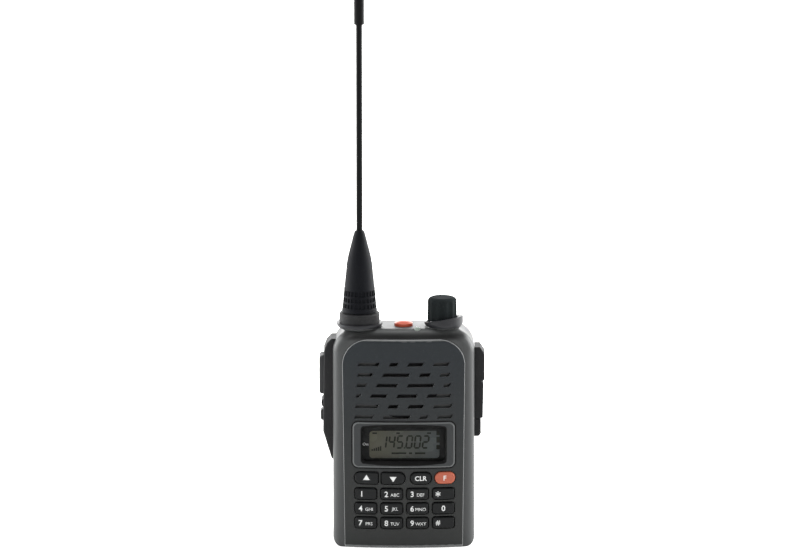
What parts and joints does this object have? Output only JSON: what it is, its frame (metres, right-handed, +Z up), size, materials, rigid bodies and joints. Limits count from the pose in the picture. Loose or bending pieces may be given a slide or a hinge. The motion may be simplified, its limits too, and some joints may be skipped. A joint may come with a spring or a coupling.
{
  "type": "handheld vhf radio",
  "caption": "Compact handheld two-way radio with whip antenna, volume knob, keypad, display, push-to-talk paddle, jack flap, removable battery pack and belt clip.",
  "frame": {"origin": "centre of the flat base, on the surface that the radio stands on", "axes": "+Z up along the antenna, -Y out of the keypad, +X to the right as seen from the front"},
  "size_m": [0.0678, 0.0455, 0.2372],
  "materials": {
    "case_plastic": "fine matt moulded texture",
    "key_plastic": "satin",
    "orange_plastic": "satin",
    "rubber": "matt",
    "knob_plastic": "satin",
    "whip_sleeve": "satin sleeve",
    "clear_window": "clear",
    "display": "smooth",
    "pale_lens": "clear",
    "cast_alloy": "painted casting",
    "plated_steel": "plated",
    "brass": "turned",
    "board": "satin",
    "inner_plastic": "matt",
    "mesh_cloth": "fine woven",
    "cone_paper": "fibrous",
    "silicone": "matt"
  },
  "bodies": {
    "radio": {"front_cover": "case_plastic", "battery_case": "case_plastic", "battery_lid": "case_plastic", "side_panel": "rubber", "jack_anchor": "rubber", "antenna_collar": "knob_plastic", "clip_bracket": "knob_plastic", "display_window": "clear_window", "lcd_glass": "display", "status_lens": "pale_lens", "rear_chassis": "cast_alloy", "case_screws": "plated_steel", "volume_nut": "plated_steel", "clip_pin": "plated_steel", "speaker_magnet": "plated_steel", "latch_spring": "plated_steel", "clip_spring": "plated_steel", "antenna_socket": "brass", "spring_contacts": "brass", "logic_board": "board", "main_board": "board", "lcd_holder": "inner_plastic", "volume_control": "inner_plastic", "call_switch": "inner_plastic", "side_switches": "inner_plastic", "jack_block": "inner_plastic", "speaker_frame": "inner_plastic", "battery_cells": "inner_plastic", "speaker_mesh": "mesh_cloth", "speaker_cone": "cone_paper", "keypad_mat": "silicone"},
    "key_up": {"key_up": "key_plastic"},
    "key_down": {"key_down": "key_plastic"},
    "key_clear": {"key_clear": "key_plastic"},
    "key_function": {"key_function": "orange_plastic"},
    "key_1": {"key_1": "key_plastic"},
    "key_2": {"key_2": "key_plastic"},
    "key_3": {"key_3": "key_plastic"},
    "key_star": {"key_star": "key_plastic"},
    "key_4": {"key_4": "key_plastic"},
    "key_5": {"key_5": "key_plastic"},
    "key_6": {"key_6": "key_plastic"},
    "key_0": {"key_0": "key_plastic"},
    "key_7": {"key_7": "key_plastic"},
    "key_8": {"key_8": "key_plastic"},
    "key_9": {"key_9": "key_plastic"},
    "key_hash": {"key_hash": "key_plastic"},
    "call_button": {"call_button": "orange_plastic"},
    "talk_key": {"talk_key": "rubber"},
    "monitor_key": {"monitor_key": "knob_plastic"},
    "volume_knob": {"volume_knob": "knob_plastic", "volume_shaft": "plated_steel"},
    "antenna_seal": {"antenna_seal": "rubber"},
    "antenna": {"antenna_connector": "brass", "antenna_boot": "rubber", "antenna_whip": "whip_sleeve", "antenna_tip": "whip_sleeve"},
    "jack_cover": {"jack_cover": "rubber"},
    "battery_latch": {"battery_latch": "knob_plastic"},
    "belt_clip": {"belt_clip": "knob_plastic"}
  },
  "joints": [
    {"name": "key_up_press", "type": "slide", "parent": "radio", "child": "key_up", "axis": [0, 1, 0], "range_m": [0, 0.0005], "stiffness_N_per_m": 400},
    {"name": "key_down_press", "type": "slide", "parent": "radio", "child": "key_down", "axis": [0, 1, 0], "range_m": [0, 0.0005], "stiffness_N_per_m": 400},
    {"name": "key_clear_press", "type": "slide", "parent": "radio", "child": "key_clear", "axis": [0, 1, 0], "range_m": [0, 0.0005], "stiffness_N_per_m": 400},
    {"name": "key_function_press", "type": "slide", "parent": "radio", "child": "key_function", "axis": [0, 1, 0], "range_m": [0, 0.0005], "stiffness_N_per_m": 400},
    {"name": "key_1_press", "type": "slide", "parent": "radio", "child": "key_1", "axis": [0, 1, 0], "range_m": [0, 0.0005], "stiffness_N_per_m": 400},
    {"name": "key_2_press", "type": "slide", "parent": "radio", "child": "key_2", "axis": [0, 1, 0], "range_m": [0, 0.0005], "stiffness_N_per_m": 400},
    {"name": "key_3_press", "type": "slide", "parent": "radio", "child": "key_3", "axis": [0, 1, 0], "range_m": [0, 0.0005], "stiffness_N_per_m": 400},
    {"name": "key_star_press", "type": "slide", "parent": "radio", "child": "key_star", "axis": [0, 1, 0], "range_m": [0, 0.0005], "stiffness_N_per_m": 400},
    {"name": "key_4_press", "type": "slide", "parent": "radio", "child": "key_4", "axis": [0, 1, 0], "range_m": [0, 0.0005], "stiffness_N_per_m": 400},
    {"name": "key_5_press", "type": "slide", "parent": "radio", "child": "key_5", "axis": [0, 1, 0], "range_m": [0, 0.0005], "stiffness_N_per_m": 400},
    {"name": "key_6_press", "type": "slide", "parent": "radio", "child": "key_6", "axis": [0, 1, 0], "range_m": [0, 0.0005], "stiffness_N_per_m": 400},
    {"name": "key_0_press", "type": "slide", "parent": "radio", "child": "key_0", "axis": [0, 1, 0], "range_m": [0, 0.0005], "stiffness_N_per_m": 400},
    {"name": "key_7_press", "type": "slide", "parent": "radio", "child": "key_7", "axis": [0, 1, 0], "range_m": [0, 0.0005], "stiffness_N_per_m": 400},
    {"name": "key_8_press", "type": "slide", "parent": "radio", "child": "key_8", "axis": [0, 1, 0], "range_m": [0, 0.0005], "stiffness_N_per_m": 400},
    {"name": "key_9_press", "type": "slide", "parent": "radio", "child": "key_9", "axis": [0, 1, 0], "range_m": [0, 0.0005], "stiffness_N_per_m": 400},
    {"name": "key_hash_press", "type": "slide", "parent": "radio", "child": "key_hash", "axis": [0, 1, 0], "range_m": [0, 0.0005], "stiffness_N_per_m": 400},
    {"name": "call_press", "type": "slide", "parent": "radio", "child": "call_button", "axis": [0, 0, -1], "range_m": [0, 0.0006], "stiffness_N_per_m": 400},
    {"name": "talk_press", "type": "slide", "parent": "radio", "child": "talk_key", "axis": [1, 0, 0], "range_m": [0, 0.0007], "stiffness_N_per_m": 600},
    {"name": "monitor_press", "type": "slide", "parent": "radio", "child": "monitor_key", "axis": [1, 0, 0], "range_m": [0, 0.0007], "stiffness_N_per_m": 500},
    {"name": "volume_turn", "type": "hinge", "parent": "radio", "child": "volume_knob", "pos_m": [0.0158, -0.0085, 0.1], "axis": [0, 0, -1], "range_deg": [0, 280]},
    {"name": "antenna_lift", "type": "slide", "parent": "radio", "child": "antenna_seal", "axis": [0, 0, 1], "range_m": [0, 0.00501]},
    {"name": "antenna_turn", "type": "hinge", "parent": "antenna_seal", "child": "antenna", "pos_m": [-0.01805, -0.0085, 0.1], "axis": [0, 0, 1], "range_deg": [0, 1800]},
    {"name": "jack_cover_open", "type": "hinge", "parent": "radio", "child": "jack_cover", "pos_m": [0.0325, 0, 0.0525], "axis": [0, 1, 0], "range_deg": [0, 110]},
    {"name": "latch_press", "type": "slide", "parent": "radio", "child": "battery_latch", "axis": [0, 0, -1], "range_m": [0, 0.002], "stiffness_N_per_m": 600, "deforming": ["latch_spring"]},
    {"name": "clip_open", "type": "hinge", "parent": "radio", "child": "belt_clip", "pos_m": [0, 0.0217, 0.066], "axis": [1, 0, 0], "range_deg": [0, 18], "stiffness_Nm_per_rad": 0.5}
  ],
  "couplings": [
    {"joint": "antenna_lift", "follows": "antenna_turn", "m_per_rad": 0.00015915}
  ]
}
